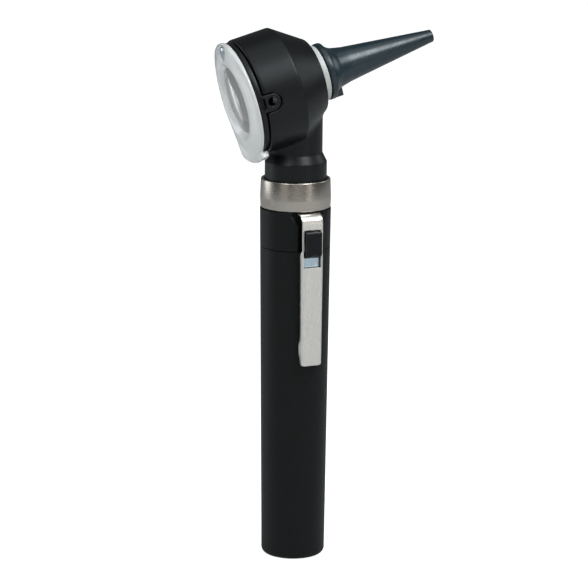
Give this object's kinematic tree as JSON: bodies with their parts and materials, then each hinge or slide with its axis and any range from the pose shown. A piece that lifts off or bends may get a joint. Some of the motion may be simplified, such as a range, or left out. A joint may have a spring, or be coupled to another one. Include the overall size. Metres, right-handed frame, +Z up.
{
  "type": "otoscope",
  "caption": "Pocket otoscope: slim battery handle with clip and slide switch, metal ring, and a tilted head with swinging magnifier and ear speculum.",
  "frame": {"origin": "centre of the handle's flat foot", "axes": "+Z up the handle towards the head, +X the way the speculum looks, so the optical axis lies in the XZ plane"},
  "size_m": [0.0695, 0.0364, 0.1671],
  "materials": {
    "handle_plastic": "fine matt black moulding",
    "head_plastic": "satin black moulding",
    "bezel_plastic": "satin black moulding",
    "button_plastic": "glossy black moulding",
    "carrier_plastic": "dark grey insulator",
    "ring_nickel": "warm grey brushed nickel plate",
    "clip_steel": "bright satin spring steel",
    "switch_steel": "bright polished steel",
    "spring_steel": "bright spring steel",
    "contact_brass": "stamped or turned brass",
    "sleeve_nickel": "nickel plated brass",
    "cell_steel": null,
    "seal_rubber": "black rubber",
    "lens_acrylic": "clear acrylic, polished",
    "lamp_glass": "clear glass",
    "fibre_guide": "bundled light fibres in clear resin",
    "seat_plastic": "light grey plastic",
    "speculum_plastic": "dark blue-grey polished plastic"
  },
  "bodies": {
    "battery_body": {"battery_tube": "handle_plastic", "battery_cell_lower": "cell_steel", "battery_cell_upper": "cell_steel", "base_contact_plate": "contact_brass", "base_contact_spring": "spring_steel", "return_strip": "contact_brass"},
    "handle_top": {"collar_shell": "handle_plastic", "handle_ring": "ring_nickel", "contact_carrier": "carrier_plastic", "upper_contact_plate": "contact_brass", "contact_pin_spring": "spring_steel", "fixed_contact": "contact_brass", "switch_detent_spring": "spring_steel"},
    "contact_pin": {"centre_contact_pin": "contact_brass"},
    "switch": {"switch_button": "button_plastic", "switch_plate": "switch_steel", "switch_contact_bridge": "contact_brass"},
    "clip": {"pocket_clip": "clip_steel"},
    "coupling": {"coupling_sleeve": "sleeve_nickel"},
    "head": {"head_housing": "head_plastic", "neck_o_ring": "seal_rubber", "neck_contact_sleeve": "sleeve_nickel", "lamp_socket": "carrier_plastic", "lamp_contact": "spring_steel", "lamp_cap": "contact_brass", "lamp_bulb": "lamp_glass", "lens_bezel": "bezel_plastic", "window_gasket": "seal_rubber", "lens_pivot_pin": "spring_steel", "speculum_seat": "seat_plastic", "seat_nut": "sleeve_nickel", "light_guide": "fibre_guide"},
    "magnifier": {"lens_plate": "lens_acrylic", "magnifier_lens": "lens_acrylic"},
    "ear_cone": {"speculum": "speculum_plastic"}
  },
  "joints": [
    {"name": "battery_tube_pull", "type": "slide", "parent": "battery_body", "child": "handle_top", "axis": [0, 0, 1], "range_m": [0, 0.022]},
    {"name": "contact_pin_press", "type": "slide", "parent": "handle_top", "child": "contact_pin", "axis": [0, 0, -1], "range_m": [0, 0.0011], "stiffness_N_per_m": 250, "deforming": ["contact_pin_spring"]},
    {"name": "switch_slide", "type": "slide", "parent": "handle_top", "child": "switch", "axis": [0, 0, -1], "range_m": [0, 0.0028]},
    {"name": "clip_flex", "type": "hinge", "parent": "handle_top", "child": "clip", "pos_m": [0.00084, -0.00996, 0.1097], "axis": [-0.9965, -0.0837, 0], "range_deg": [0, 4], "stiffness_Nm_per_rad": 4},
    {"name": "head_pull", "type": "slide", "parent": "handle_top", "child": "coupling", "axis": [0, 0, 1], "range_m": [0, 0.018]},
    {"name": "head_turn", "type": "hinge", "parent": "coupling", "child": "head", "pos_m": [0, 0, 0.1165], "axis": [0, 0, 1], "continuous": true},
    {"name": "lens_swing", "type": "hinge", "parent": "head", "child": "magnifier", "pos_m": [-0.02442, 0, 0.15993], "axis": [-0.9643, 0, -0.2647], "range_deg": [0, 100]},
    {"name": "speculum_pull", "type": "slide", "parent": "head", "child": "ear_cone", "axis": [0.9643, 0, 0.2647], "range_m": [0, 0.03]}
  ]
}
